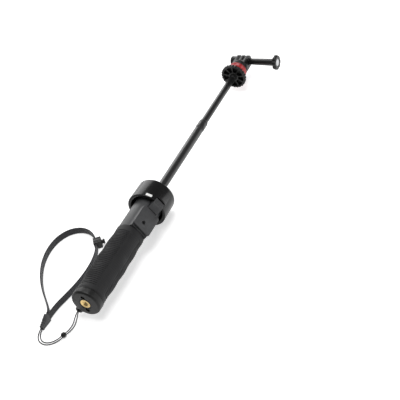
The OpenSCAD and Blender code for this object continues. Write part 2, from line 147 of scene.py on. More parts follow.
# %% Table
bpy.ops.object.select_all(action="DESELECT")
TABLE_SIZE = 8
bpy.ops.mesh.primitive_plane_add(size=TABLE_SIZE, location=(0.2, 0, cad_box[0].z))
table = bpy.context.object
table.name = "table_top"

# %% Room and light panels
ROOM_ON_PIECES, WHITE = 0.28, (1, 1, 1, 1)
look_at = Vector((0.22, 0.0, 0.0))
world = bpy.context.scene.world or bpy.data.worlds.new("room")
bpy.context.scene.world = world
world.use_nodes = True
wires = world.node_tree
dim = wires.nodes["Background"]
fill(dim, {"Color": WHITE, "Strength": ROOM_ON_PIECES})
white = put(wires, "Background", {"Color": WHITE})
seen = put(wires, "LightPath").outputs["Is Camera Ray"]
either = put(wires, "MixShader", {0: seen, 1: dim.outputs[0], 2: white.outputs[0]})
fill(wires.nodes["World Output"], {"Surface": either.outputs[0]})


def light_panel(name, right, top, back, size, watts):
    """A square soft light, placed by distances along the camera's own axes."""
    place = look_at + right * to_right + top * to_top + back * backwards
    bpy.ops.object.light_add(type="AREA", location=place)
    panel = bpy.context.object
    panel.name = name
    panel.rotation_euler = (look_at - place).to_track_quat("-Z", "Y").to_euler()
    panel.data.size = size
    panel.data.energy = watts
    print(name, watts, "W, panel", size, "m wide")


light_panel("left_panel", -0.66, 1.27, -0.72, 1.2, 14)
light_panel("overhead_panel", -0.36, 1.13, 0.92, 1.0, 14)
light_panel("right_panel", 1.2, 0.5, 1.0, 0.9, 5)
bpy.context.scene.view_settings.view_transform = "Standard"

# %% [markdown]
# ## Shared surface effects
# Four effects are used by several materials, so each is a node group that is built once.
# *Moulded grain* is the fine spark-eroded texture of a plastic mould, with slow cloudy patches
# where handling has polished it. *Scuffs* are thin, faint scratches. *Drawn lines* run along
# the pole on drawn tubes, or round it on turned metal. *Weave* lays threads over cloth with
# the cloth's own UV map, which is in metres here.

# %% Group: moulded grain
grain, given, result = new_group("moulded_grain", {"Grains per metre": 2500, "Patches per metre": 60},
                                 ["Height", "Patch"])
where = put(grain, "TexCoord").outputs["Object"]
fine = put(grain, "TexNoise", {"Vector": where, "Scale": given["Grains per metre"], "Detail": 2.0})
slow = put(grain, "TexNoise", {"Vector": where, "Scale": given["Patches per metre"], "Detail": 3.0})
spread = put(grain, "MapRange", {"Value": slow.outputs["Fac"], "From Min": 0.35, "From Max": 0.65})
grain.links.new(fine.outputs["Fac"], result["Height"])
grain.links.new(spread.outputs["Result"], result["Patch"])

# %% Group: scuffs
scuffs, given, result = new_group("scuffs", {"Scuffs per metre": 90, "Amount": 0.5}, ["Mask"])
where = put(scuffs, "TexCoord").outputs["Object"]
masks = []
for turn_z, stretch in ((0.5, 14), (-0.9, 11)):
    lay = put(scuffs, "Mapping", {"Vector": where, "Rotation": (0.4, 0.2, turn_z),
                                  "Scale": (1, stretch, stretch)})
    streak = put(scuffs, "TexNoise", {"Vector": lay.outputs[0], "Scale": given["Scuffs per metre"],
                                      "Detail": 1.0})
    masks.append(put(scuffs, "MapRange", {"Value": streak.outputs["Fac"], "From Min": 0.66,
                                          "From Max": 0.74}).outputs["Result"])
both = sums(scuffs, "MAXIMUM", masks[0], masks[1])
scuffs.links.new(sums(scuffs, "MULTIPLY", both, given["Amount"]), result["Mask"])

# %% Group: drawn lines
lines, given, result = new_group("drawn_lines", {"Along": 1.0, "Across": 1.0}, ["Height", "Patch"])
where = put(lines, "TexCoord").outputs["Object"]
axes = put(lines, "CombineXYZ", {"X": given["Along"], "Y": given["Across"], "Z": given["Across"]})
laid = put(lines, "VectorMath", {0: where, 1: axes.outputs[0]}, operation="MULTIPLY")
streak = put(lines, "TexNoise", {"Vector": laid.outputs[0], "Scale": 1.0, "Detail": 3.0})
cloud = put(lines, "TexNoise", {"Vector": where, "Scale": 45.0, "Detail": 2.0})
lines.links.new(streak.outputs["Fac"], result["Height"])
lines.links.new(cloud.outputs["Fac"], result["Patch"])

# %% Group: weave
weave, given, result = new_group("weave", {"Warp pitch": 0.0013, "Pick pitch": 0.0009},
                                 ["Height", "Thread"])
place = put(weave, "SeparateXYZ", {0: put(weave, "TexCoord").outputs["UV"]}).outputs
column = sums(weave, "DIVIDE", place["X"], given["Warp pitch"])
row = sums(weave, "DIVIDE", place["Y"], given["Pick pitch"])
odd = sums(weave, "MULTIPLY", sums(weave, "FLOOR", column), 0.5)
pick_wave = sums(weave, "ABSOLUTE", sums(weave, "SINE", sums(weave, "MULTIPLY", sums(
    weave, "ADD", row, odd), pi)))
fray = put(weave, "TexNoise", {"Vector": put(weave, "TexCoord").outputs["Object"],
                               "Scale": 1800.0, "Detail": 3.0})
weave.links.new(pick_wave, result["Height"])
weave.links.new(fray.outputs["Fac"], result["Thread"])
print("node groups:", [g.name for g in bpy.data.node_groups])

# %% [markdown]
# ## Materials
# A moulded plastic is a dark colour, a roughness that wanders with its patches, and a bump
# from its grain. The same recipe, with other numbers, gives the matte housing, the glossy
# collar and the rubber. Metals swap the grain for drawn lines. The Principled shader stays in
# the material, and the groups only feed its colour, roughness and normal.

# %% Recipe for moulded plastic and rubber
MATERIALS = {}


def grouped(tree, group, inputs):
    """Places a node group in a material, and fills its inputs."""
    return put(tree, "Group", inputs, node_tree=group).outputs


def new_material(name):
    """Starts a material; gives its node tree and its Principled shader."""
    material = bpy.data.materials.new(name)
    material.use_nodes = True
    MATERIALS[name] = material
    return material.node_tree, material.node_tree.nodes["Principled BSDF"]


def wire_up(tree, shader, tone, colours, sheen, height, depth):
    """Feeds the shader a blend of two colours, a roughness, and a relief this deep in metres."""
    dark, pale = colours
    colour = put(tree, "Mix", {"Factor": tone, "A": (*dark, 1), "B": (*pale, 1)}, data_type="RGBA")
    relief = put(tree, "Bump", {"Height": height, "Strength": 1.0, "Distance": depth})
    fill(shader, {"Base Color": colour.outputs["Result"], "Roughness": sheen.outputs["Result"],
                  "Normal": relief.outputs["Normal"]})


def moulded(name, dark, pale, rough, bump, grains=2500, patches=60, scuffed=0.3, coat=0.0,
            specular=0.5):
    """Plastic or rubber: two close colours, a range of roughness, and the grain's depth."""
    tree, shader = new_material(name)
    skin = grouped(tree, grain, {"Grains per metre": grains, "Patches per metre": patches})
    marks = grouped(tree, scuffs, {"Amount": scuffed})["Mask"]
    tone = sums(tree, "ADD", skin["Patch"], marks)
    sheen = put(tree, "MapRange", {"Value": tone, "To Min": rough[0], "To Max": rough[1]})
    wire_up(tree, shader, tone, (dark, pale), sheen, skin["Height"], bump)
    fill(shader, {"Specular IOR Level": specular, "Coat Weight": coat, "Coat Roughness": 0.04})


moulded("grip_rubber", (0.006, 0.006, 0.007), (0.013, 0.013, 0.014), (0.55, 0.72), 4e-5, grains=1800,
        specular=0.35)
moulded("black_plastic", (0.005, 0.005, 0.005), (0.011, 0.011, 0.011), (0.32, 0.45), 1.2e-5,
        specular=0.3)
moulded("gloss_black", (0.004, 0.004, 0.004), (0.008, 0.008, 0.009), (0.20, 0.30), 1e-6,
        patches=35, scuffed=0.15, coat=0.05, specular=0.28)
moulded("grey_plastic", (0.036, 0.036, 0.038), (0.052, 0.053, 0.055), (0.36, 0.50), 2.4e-5,
        specular=0.35)
# Painted highlight: this off-white colours the pale patch on the collar's rim, which stands for a reflection
# in the glossy bevel.
moulded("index_white", (0.78, 0.79, 0.77), (0.86, 0.86, 0.85), (0.35, 0.5), 5e-6, scuffed=0.1)
moulded("red_ring", (0.30, 0.005, 0.008), (0.42, 0.010, 0.013), (0.22, 0.34), 4e-6, scuffed=0.1,
        coat=0.3)
moulded("nylon", (0.02, 0.02, 0.02), (0.035, 0.035, 0.035), (0.45, 0.6), 1e-5)
moulded("black_rubber", (0.009, 0.009, 0.009), (0.018, 0.018, 0.018), (0.6, 0.75), 2e-5)


# %% Recipe for drawn and turned metal
def drawn(name, dark, pale, rough, along, across, bump, metallic=1.0):
    """Metal with fine lines: more along than across on turned work, the reverse on a tube."""
    tree, shader = new_material(name)
    skin = grouped(tree, lines, {"Along": along, "Across": across})
    marks = grouped(tree, scuffs, {"Amount": 0.3})["Mask"]
    tone = sums(tree, "ADD", skin["Patch"], marks)
    sheen = put(tree, "MapRange", {"Value": skin["Height"], "From Min": 0.3, "From Max": 0.7,
                                   "To Min": rough[0], "To Max": rough[1]})
    wire_up(tree, shader, tone, (dark, pale), sheen, skin["Height"], bump)
    fill(shader, {"Metallic": metallic})


drawn("black_tube", (0.005, 0.005, 0.005), (0.012, 0.012, 0.012), (0.26, 0.42), 25, 1600, 2e-6,
      metallic=0.0)
drawn("bare_aluminium", (0.62, 0.63, 0.64), (0.76, 0.77, 0.78), (0.3, 0.5), 25, 1600, 3e-6)
drawn("steel", (0.40, 0.41, 0.42), (0.55, 0.55, 0.56), (0.2, 0.38), 1500, 60, 3e-6)
drawn("black_steel", (0.020, 0.020, 0.021), (0.045, 0.045, 0.046), (0.3, 0.45), 1500, 60, 3e-6)
drawn("brass", (0.60, 0.42, 0.16), (0.74, 0.56, 0.27), (0.22, 0.4), 1500, 60, 3e-6)


# %% Recipe for cloth and cord
def woven(name, dark, pale, warp, pick, bump):
    """Threads laid by the UV map, with a fringe of loose fibre in the colour and the relief. The
    colour is also painted shade: darker down in the dips between picks, paler on the crowns.
    """
    tree, shader = new_material(name)
    cloth = grouped(tree, weave, {"Warp pitch": warp, "Pick pitch": pick})
    # Painted shade: the colour follows the weave's height. It is dark in the dips between picks and pale on
    # the crowns, and this is multiplied by the loose fibre's random tone.
    fibre_tone_and_valley_shade = sums(tree, "MULTIPLY", cloth["Height"], cloth["Thread"])
    height = sums(tree, "ADD", cloth["Height"], sums(tree, "MULTIPLY", cloth["Thread"], 0.6))
    sheen = put(tree, "MapRange", {"Value": cloth["Thread"], "To Min": 0.6, "To Max": 0.85})
    wire_up(tree, shader, fibre_tone_and_valley_shade, (dark, pale), sheen, height, bump)
    fill(shader, {"Sheen Weight": 0.25, "Sheen Roughness": 0.4})


woven("webbing_fabric", (0.008, 0.008, 0.010), (0.030, 0.031, 0.038), 0.0013, 0.0008, 1.2e-4)
woven("cord_fabric", (0.008, 0.008, 0.009), (0.026, 0.026, 0.028), 0.0004, 0.0003, 5e-5)
print("materials:", sorted(MATERIALS))

# %% Table material
TABLE_GLOW = 0.5
tree, shader = new_material("table_paint")
skin = grouped(tree, grain, {"Grains per metre": 700, "Patches per metre": 4})
tint = put(tree, "Mix", {"Factor": skin["Patch"], "A": (0.90, 0.90, 0.90, 1),
                         "B": (0.92, 0.92, 0.92, 1)}, data_type="RGBA")
fill(shader, {"Base Color": tint.outputs["Result"], "Roughness": 0.85, "Specular IOR Level": 0.1,
              "Emission Color": WHITE, "Emission Strength": TABLE_GLOW})
table.data.materials.append(MATERIALS["table_paint"])


# %% [markdown]
# ## Handing a piece over
# When a piece is done, it gets smooth shading that stays crisp at sharp edges, its material,
# and its place in the assembly: the moving body it rides on. The CAD node it stands for is hidden.

# %% Helpers that hand a piece over
def only(*pieces):
    """Selects just these pieces, and makes the first one active."""
    bpy.ops.object.select_all(action="DESELECT")
    for piece in pieces:
        piece.select_set(True)
    bpy.context.view_layer.objects.active = pieces[0]


def hand_over(piece, finish, body, *nodes, crease=35):
    """Shades a finished piece, gives it its material, puts it on its moving body, and hides the CAD nodes it
    stands for.
    """
    only(piece)
    bpy.ops.object.shade_smooth_by_angle(angle=radians(crease))
    piece.data.materials.clear()
    piece.data.materials.append(MATERIALS[finish])
    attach(piece, body)
    if nodes:
        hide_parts(*nodes)
    print(f"{piece.name}: {len(piece.data.polygons)} faces, {finish}, on {body}")


# %% [markdown]
# ## The wrist strap: cord and webbing
# The strap is the only soft part. A thin twisted cord runs out of the moulded connector, along
# the table, through the lug on the base cap and back, like the loop on a camera strap. The
# wrist loop is flat webbing, 7.8 mm wide, standing on its edge, because that is how a stiff
# narrow band comes to rest. Both are one closed section carried along a smooth line, and the
# section itself has the relief: three strands that twist, and six ridges of warp.

# %% A smooth line through points, and a section carried along it
def smooth_line(points, steps):
    """A curve through all the points, with this many short steps between two of them."""
    chain = [2 * points[0] - points[1], *points, 2 * points[-1] - points[-2]]
    line = []
    for a, b, c, d in zip(chain, chain[1:], chain[2:], chain[3:]):
        for t in (k / steps for k in range(steps)):
            line.append(0.5 * (2 * b + (c - a) * t + (2 * a - 5 * b + 4 * c - d) * t**2
                               + (3 * b - a - 3 * c + d) * t**3))
    return line + [points[-1]]


def lengths_along(line):
    """The distance from the line's start to each of its points."""
    run = [0.0]
    for a, b in zip(line, line[1:]):
        run.append(run[-1] + (b - a).length)
    return run


def carry(name, line, section_at, girth):
    """A closed skin whose section at point i is section_at(i), [sideways, upright] points."""
    run, verts, faces, sheet = lengths_along(line), [], [], []
    for i, point in enumerate(line):
        ahead = (line[min(i + 1, len(line) - 1)] - line[max(i - 1, 0)]).normalized()
        side = Vector((0, 0, 1)).cross(ahead).normalized()
        upright = ahead.cross(side)
        section = section_at(i)
        verts += [point + s * side + u * upright for s, u in section]
    n = len(section)
    for i in range(len(line) - 1):
        for k in range(n):
            a, b = i * n + k, i * n + (k + 1) % n
            faces.append((a, b, b + n, a + n))
            left, right = girth * k / n, girth * (k + 1) / n
            sheet += [(left, run[i]), (right, run[i]), (right, run[i + 1]), (left, run[i + 1])]
    last = (len(line) - 1) * n
    faces += [tuple(range(n - 1, -1, -1)), tuple(range(last, last + n))]
    sheet += [(0, 0)] * (2 * n)
    mesh = bpy.data.meshes.new(name)
    mesh.from_pydata(verts, [], faces)
    for corner, place_on_cloth in zip(mesh.uv_layers.new(name="cloth").data, sheet):
        corner.uv = place_on_cloth
    piece = bpy.data.objects.new(name, mesh)
    bpy.context.scene.collection.objects.link(piece)
    return piece


# %% The lanyard cord: out, through the lug, and back
LANYARD_D, LANYARD_GIRTH, STRAND_TURN = 1.2 * MM, 3.77 * MM, 5 * MM
lanyard_route = [Vector(p) * MM for p in (
    (-24, 46.9, -20), (-28, 46.8, -20.7), (-33, 45.4, -21.2), (-38, 41.8, -21.3),
    (-41, 36.5, -21.3), (-41.5, 30.5, -21.3), (-39, 24.5, -21.2), (-34, 19.3, -20.6),
    (-28, 15.9, -19.6), (-21, 14, -20.6), (-14, 13.3, -21), (-8, 13.2, -19.4),
    (-3, 13.2, -15.8), (1, 13.2, -13.6), (5.5, 13.2, -13.2), (8.4, 13.8, -13.8),
    (9.4, 15.1, -15.1), (8.4, 16.4, -16.4), (5.5, 16.9, -16.9), (1, 16.9, -17.2),
    (-4, 16.7, -18.6), (-9, 16.4, -20.6), (-14, 16.2, -21.1), (-20.5, 16.6, -20.6),
    (-27, 18.2, -19.6), (-32.3, 21.4, -20.6), (-36.6, 26, -21.2), (-38.9, 31, -21.3),
    (-38.6, 36, -21.3), (-36, 40.2, -21.3), (-31.8, 43.3, -21.2), (-28, 44.8, -20.7),
    (-24, 45.1, -20))]
lanyard_line = smooth_line(lanyard_route, 15)
lanyard_run = lengths_along(lanyard_line)


def twisted_section(i, points=18):
    """Three strands side by side in a round cord, turned a little further at each step."""
    turned = tau * lanyard_run[i] / STRAND_TURN
    ring = []
    for k in range(points):
        angle = tau * k / points
        radius = LANYARD_D / 2 * (0.84 + 0.16 * abs(cos(1.5 * (angle - turned))))
        ring.append((radius * cos(angle), radius * sin(angle)))
    return ring


lanyard = carry("lanyard", lanyard_line, twisted_section, LANYARD_GIRTH)
hand_over(lanyard, "cord_fabric", "handle", "lanyard_cord", crease=60)

# %% The wrist webbing: a ridged band on its edge
WEBBING_W, WEBBING_T = 7.8 * MM, 1.4 * MM
WARP_RIDGES = 6
webbing_route = [Vector((x, y, -18)) * MM for x, y in (
    (-10, 45.2), (-2, 45), (8, 43.8), (20, 41), (33, 38.2), (46, 36.4), (60, 36), (73, 37.2),
    (85, 40.2), (94.8, 44.7), (103.2, 50.3), (110, 57.2), (114.4, 65), (116, 73.5),
    (114.4, 82), (109.6, 89.4), (102, 94.8), (92.5, 97.8), (81, 98.4), (68, 96.4),
    (55, 92), (42, 85.4), (30, 77.4), (19, 68.4), (10, 60), (2, 52.8), (-4, 48.6), (-10, 46.8))]
webbing_line = smooth_line(webbing_route, 9)


def ridged_section(_):
    """Up one face of the band and down the other, over six rounded ridges."""
    half_t, half_w, samples = WEBBING_T / 2, WEBBING_W / 2 - 0.25 * MM, 4
    face = []
    for k in range(WARP_RIDGES * samples + 1):
        dip = 0.14 * MM * (1 - abs(sin(pi * k / samples)) ** 0.5)
        face.append((half_t - dip, half_w * (2 * k / (WARP_RIDGES * samples) - 1)))
    top = [(0.4 * MM, WEBBING_W / 2), (-0.4 * MM, WEBBING_W / 2)]
    other = [(-s, -u) for s, u in face]
    return face + top + other + [(-s, -u) for s, u in top]


webbing = carry("webbing", webbing_line, ridged_section, 2 * (WEBBING_W + WEBBING_T))
hand_over(webbing, "webbing_fabric", "handle", "wrist_webbing", crease=60)
webbing_run = lengths_along(webbing_line)
print("cord", round(lanyard_run[-1] / MM), "mm, webbing", round(webbing_run[-1] / MM), "mm")

# %% [markdown]
# ## Drawing a section and turning it
# Most parts of a pole are round, so they are made as on a lathe. A single vertex is extruded
# from point to point along half the section, and Spin carries that line once round the axis.
# The seam and the poles are then merged, and the normals turned outwards. A flat part starts
# the same way: its outline is drawn, filled, and the face is extruded through the thickness.

# %% Helpers: draw, turn and slab
def draw(name, points, closed):
    """Extrudes one vertex from point to point, in millimetres. Leaves the piece in edit mode."""
    bpy.ops.object.select_all(action="DESELECT")
    bpy.ops.mesh.primitive_plane_add(size=MM)
    piece = bpy.context.object
    piece.name = piece.data.name = name
    bpy.ops.object.mode_set(mode="EDIT")
    bpy.ops.mesh.select_mode(type="VERT")
    bpy.ops.mesh.merge(type="CENTER")
    points = [Vector(p) * MM for p in points]
    bpy.ops.transform.translate(value=points[0])
    for a, b in zip(points, points[1:]):
        bpy.ops.mesh.extrude_region_move(TRANSFORM_OT_translate={"value": b - a})
    if closed:
        bm = bmesh.from_edit_mesh(piece.data)
        bm.verts.ensure_lookup_table()
        bm.verts[0].select_set(True)
        bpy.ops.mesh.edge_face_add()
    return piece


def clean_up():
    """Merges doubles, turns the normals outwards, and leaves edit mode."""
    bpy.ops.mesh.select_all(action="SELECT")
    bpy.ops.mesh.remove_doubles(threshold=1e-6)
    bpy.ops.mesh.normals_make_consistent(inside=False)
    bpy.ops.object.mode_set(mode="OBJECT")


def turn(name, outline, steps=64, ring=False, axis="X", centre=(0, 0, 0)):
    """Spins an outline of [place along the axis, radius] points. A ring's outline is closed."""
    along = Vector((1, 0, 0)) if axis == "X" else Vector((0, 1, 0))
    middle = Vector(centre)
    piece = draw(name, [middle + along * p + Vector((0, 0, r)) for p, r in outline], ring)
    bpy.ops.mesh.select_all(action="SELECT")
    bpy.ops.mesh.spin(steps=steps, angle=tau, center=middle * MM, axis=along)
    clean_up()
    return piece


def slab(name, outline, push):
    """Fills a closed outline of 3-D points, and extrudes the face by the push."""
    piece = draw(name, outline, True)
    bpy.ops.mesh.select_all(action="SELECT")
    bpy.ops.mesh.edge_face_add()
    bpy.ops.mesh.extrude_region_move(TRANSFORM_OT_translate={"value": Vector(push) * MM})
    clean_up()
    return piece


def rod(low, high, radius):
    """The outline of a plain cylinder between two places along its axis."""
    return [(low, 0), (low, radius), (high, radius), (high, 0)]


def tile(name, x, half_width, corner, steps, y, push):
    """A slab with round corners. It starts at y, faces -Y, and is extruded by the push."""
    outline = rounded(x, (-half_width, half_width), corner, steps)
    return slab(name, [(px, y, pz) for px, pz in outline], (0, push, 0))


def bow(centre, radius, start, stop, steps):
    """Points of an arc, for an outline. Angles in degrees."""
    angles = [radians(start + (stop - start) * k / steps) for k in range(steps + 1)]
    return [(centre[0] + radius * cos(a), centre[1] + radius * sin(a)) for a in angles]


def rounded(x, y, r, steps):
    """The outline of a rectangle with round corners. x and y are (low, high) pairs."""
    corners = ((x[1] - r, y[0] + r, -90), (x[1] - r, y[1] - r, 0), (x[0] + r, y[1] - r, 90),
               (x[0] + r, y[0] + r, 180))
    return [p for cx, cy, a in corners for p in bow((cx, cy), r, a, a + 90, steps)]


# %% Helpers: place, cut and round the edges
def settle(piece, turned=(0, 0, 0), moved=(0, 0, 0)):
    """Turns a piece about the origin and moves it. Both are applied, so its object stays there."""
    only(piece)
    piece.rotation_euler = [radians(a) for a in turned]
    piece.location = Vector(moved) * MM
    bpy.ops.object.transform_apply(location=True, rotation=True, scale=True)
    return piece


def copy_of(piece, turned=(0, 0, 0), moved=(0, 0, 0)):
    """A copy with its own mesh, turned about the origin and moved."""
    only(piece)
    bpy.ops.object.duplicate()
    return settle(bpy.context.object, turned, moved)


def apply_modifier(piece, kind, **settings):
    """Adds a modifier with these settings, and applies it."""
    only(piece)
    bpy.ops.object.modifier_add(type=kind)
    modifier = piece.modifiers[-1]
    for key, value in settings.items():
        setattr(modifier, key, value)
    bpy.ops.object.modifier_apply(modifier=modifier.name)


def shape_with(piece, tools, operation="DIFFERENCE"):
    """Cuts each tool out of the piece, or joins it on, and throws the tool away."""
    for tool in tools:
        apply_modifier(piece, "BOOLEAN", operation=operation, object=tool, solver="EXACT")
        bpy.data.objects.remove(tool)
    return piece


def round_edges(piece, width, segments=2, sharper_than=32):
    """Rounds every edge sharper than an angle: nothing moulded or turned has a razor edge."""
    apply_modifier(piece, "BEVEL", width=width * MM, segments=segments, limit_method="ANGLE",
                   angle_limit=radians(sharper_than), miter_outer="MITER_ARC")
    return piece


def pick(piece, kind, wanted):
    """In edit mode, selects the vertices or faces for which wanted(middle, normal) is true."""
    bpy.ops.mesh.select_mode(type=kind)
    bpy.ops.mesh.select_all(action="DESELECT")
    bm = bmesh.from_edit_mesh(piece.data)
    for item in bm.verts if kind == "VERT" else bm.faces:
        middle = item.co if kind == "VERT" else item.calc_center_median()
        item.select_set(bool(wanted(middle / MM, item.normal)))
    bm.select_flush_mode()
    bmesh.update_edit_mesh(piece.data)


def reshape(piece, kind, wanted, operator, **settings):
    """Picks vertices or faces in edit mode, and runs one operator on them."""
    only(piece)
    bpy.ops.object.mode_set(mode="EDIT")
    pick(piece, kind, wanted)
    operator(**settings)
    bpy.ops.object.mode_set(mode="OBJECT")


def shifted(start, points):
    """An outline's [place, radius] points, moved along the axis."""
    return [(start + p, radius) for p, radius in points]


def round_the_pole(point):
    """A point's angle round the pole, in degrees from straight up towards -Y, and its radius."""
    return degrees(atan2(-point.y, point.z)) % 360, Vector((point.y, point.z)).length


LATCH = (-30, 0, 0)  # turns what is built facing -Y to the release button's side, 30 degrees up

# %% [markdown]
# ## The strap's small mouldings
# The webbing and the cord meet in a moulded connector that tapers towards the cord, so that it
# bends easily there. It starts as a box: one end is scaled down, and grooves are pushed in
# round it as a strain relief. A cinch bead holds the doubled cord together, and a slider with
# a push button sets the size of the loop.

# %% Connector
def box(name, x, y, z):
    """A box primitive between low and high places, in millimetres."""
    bpy.ops.object.select_all(action="DESELECT")
    low, high = Vector((x[0], y[0], z[0])) * MM, Vector((x[1], y[1], z[1])) * MM
    bpy.ops.mesh.primitive_cube_add(size=1, location=(low + high) / 2, scale=high - low)
    piece = bpy.context.object
    piece.name = piece.data.name = name
    bpy.ops.object.transform_apply(location=True, rotation=True, scale=True)
    return piece


def press_groove(piece, x, depth):
    """Slices a piece at two places along X, and pushes the skin between them in."""
    only(piece)
    bpy.ops.object.mode_set(mode="EDIT")
    for at in x:
        bpy.ops.mesh.select_all(action="SELECT")
        bpy.ops.mesh.bisect(plane_co=(at * MM, 0, 0), plane_no=(1, 0, 0))
    pick(piece, "FACE", lambda at, n: x[0] < at.x < x[1] and abs(n.x) < 0.7)
    bpy.ops.mesh.extrude_region_shrink_fatten(TRANSFORM_OT_shrink_fatten={"value": -depth * MM})
    bpy.ops.object.mode_set(mode="OBJECT")


floor_z = cad_box[0].z / MM
conn_x, conn_y, conn_z = (ends("strap_connector", axis) for axis in "XYZ")
connector = box("connector", conn_x, conn_y, conn_z)
reshape(connector, "FACE", lambda at, n: n.x < -0.9, bpy.ops.transform.resize,
        value=(1, 0.72, 0.5), center_override=Vector((conn_x[0], 46, floor_z)) * MM)
for start in (-22.6, -20.4, -18.2):
    press_groove(connector, (start, start + 1.0), 0.35)
round_edges(connector, 0.55, 3, 40)
hand_over(connector, "grey_plastic", "handle", "strap_connector")

# %% Cinch bead
bead_low, bead_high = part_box("cord_bead")
bead_r = (bead_high.x - bead_low.x) / 2 / MM
barrel = bow((0, 0), bead_r, 148, 100, 6) + [(-0.3, bead_r - 0.35), (0.3, bead_r - 0.35)]
barrel += [(-p, r) for p, r in reversed(barrel[:7])]
bead = turn("bead", [(-1.9, 0), (-2.2, 1.5), *barrel, (2.2, 1.5), (1.9, 0)], 32)
settle(bead, (0, 0, -22), (bead_low + bead_high) / 2 / MM)
hand_over(bead, "black_plastic", "handle", "cord_bead")

# %% Slider and its button
slide_place = {"turned": (0, 0, 33.69), "moved": (99, 47.5, floor_z)}
BUTTON_Z = 4.5
slider = box("slider", (-4.5, 4.5), (-6.2, 2.4), (0, 9))
for start in (-3.7, -2.3, 1.5, 2.9):
    press_groove(slider, (start, start + 0.8), 0.3)
round_edges(slider, 0.4, 3, 40)
shape_with(slider, [
    box("webbing_way", (-9, 9), (-1, 1), (-1, 8.3)),
    turn("button_bore", rod(-7.5, -2.6, 2.26), 32, axis="Y", centre=(0, 0, BUTTON_Z))])
settle(slider, **slide_place)
hand_over(slider, "black_plastic", "handle", "slider_body")

button_line = [(-4.7, 0), (-4.7, 2.2), (-8.0, 2.2), (-8.1, 2.6), (-8.4, 2.8), (-9.4, 2.8),
               (-9.7, 2.6), (-9.8, 2.2), (-9.6, 1.6), (-9.55, 0)]
push = turn("slider_push", button_line, 48, axis="Y", centre=(0, 0, BUTTON_Z))
reshape(push, "VERT", lambda at, n: at.y < -8.2 and Vector((at.x, at.z - BUTTON_Z)).length > 2.5
        and round(degrees(atan2(at.x, at.z - BUTTON_Z)) / 7.5) % 4 == 0,
        bpy.ops.transform.shrink_fatten, value=-0.25 * MM)
settle(push, **slide_place)
hand_over(push, "black_plastic", "strap_button", "slider_button")

# %% [markdown]
# ## The rubber grip
# The sleeve is soft rubber moulded over a hard core. Its radius swells gently four times for
# the fingers. Rows of shallow grooves go round it, and stop at two smooth strips, one under
# the thumb and one on the far side. The grooves are drawn in the section and turned with it,
# and then the strips are raised again by selecting the groove floors there.

# %% Grip sleeve
sleeve_x = ends("grip_sleeve")


def swell(x):
    """The sleeve's radius at a place along the pole."""
    share = (x - sleeve_x[0]) / (sleeve_x[1] - sleeve_x[0])
    return 15.2 + 0.9 * sin(pi * share) + 0.3 * cos(8 * pi * share)


GROOVE_DEPTH, GROOVE_PITCH, GROOVES = 0.5, 2.4, 33
STRIP_MIDDLE, STRIP_HALF = 60, 24
start_x, start_r = sleeve_x[0], swell(sleeve_x[0])
outline = [(start_x, 13.4), (start_x, start_r - 0.6), (start_x + 0.2, start_r - 0.15),
           (start_x + 0.6, swell(start_x + 0.6))]
outline += [(x, swell(x)) for x in (11.5, 13.0, 14.2)]
for k in range(GROOVES):
    x = 15.2 + GROOVE_PITCH * k
    outline += [(x, swell(x)), (x + 0.25, swell(x) - GROOVE_DEPTH),
                (x + 0.85, swell(x) - GROOVE_DEPTH), (x + 1.1, swell(x))]
outline += [(x, swell(x)) for x in (95.6, 97.2, 98.8)]
outline += [(sleeve_x[1] - (x - start_x), r) for x, r in reversed(outline[:4])]
grip = turn("grip", outline, 96, ring=True)


def on_a_strip(at, _):
    """Groove floors on the two smooth strips, which lie opposite each other."""
    angle, radius = round_the_pole(at)
    off_strip = abs((angle - STRIP_MIDDLE + 90) % 180 - 90)
    return 15 < at.x < 95 and 14 < radius < swell(at.x) - 0.3 and off_strip < STRIP_HALF


reshape(grip, "VERT", on_a_strip, bpy.ops.transform.shrink_fatten, value=GROOVE_DEPTH * MM)
hand_over(grip, "grip_rubber", "handle", "grip_sleeve", crease=50)

# %% [markdown]
# ## The butt end
# A moulded cap closes the handle. It carries the lanyard lug, two screws, and a brass insert
# with a tripod thread. The cap is turned, the lug is a small slab with a round end that is
# joined on, and the screw wells and the lug's hole are cut.

# %% Base cap with its lug
cap_line = [(12, 0), (12, 5.5), (0, 5.5), (0, 6.0), (0.35, 6.3), (0.35, 6.9), (0, 7.2), (0, 13.5),
            *bow((2.5, 13.5), 2.5, 180, 90, 8), (7.6, 16), (7.8, 15.6), (8.2, 15.6), (8.4, 16),
            (9, 16), (9, 11), (14, 11), (14, 0)]
cap = turn("base_cap_moulding", cap_line, 96)
lug_arc = [(1.5, y, z) for y, z in [(12, -4), *bow((18.6, 0), 4, -90, 90, 12), (12, 4)]]
lug = round_edges(slab("lug", lug_arc, (4.5, 0, 0)), 0.8, 3, 50)
settle(lug, (-45, 0, 0))
hole = settle(turn("lug_hole", [(0, 0), (0, 2.5), (1.5, 2.05), (2.4, 2.0), (5.1, 2.0), (6, 2.05),
                                (7.5, 2.5), (7.5, 0)], 32, centre=(0, 18.6, 0)), (-45, 0, 0))
wells = [turn("well", [(-1, 0), (-1, 2.6), (0.3, 2.3), (2.4, 2.2), (2.4, 0)], 32, centre=(0, 0, z))
         for z in (-8.6, 8.6)]
shape_with(cap, [lug], "UNION")
shape_with(cap, [hole, *wells])
hand_over(cap, "black_plastic", "handle", "base_cap")

# %% Tripod insert and cap screws
thread = [p for x in (0.6 + 0.78 * k for k in range(9, -1, -1)) for p in ((x + 0.39, 3.1), (x, 2.72))]
insert = turn("tripod_socket", [(8.5, 0), (8.5, 2.72), *thread, (0.05, 3.2), (0.05, 5.3), (0.2, 5.5),
                                (12, 5.5), (12, 0)], 48)
hand_over(insert, "brass", "handle", "tripod_insert", crease=25)

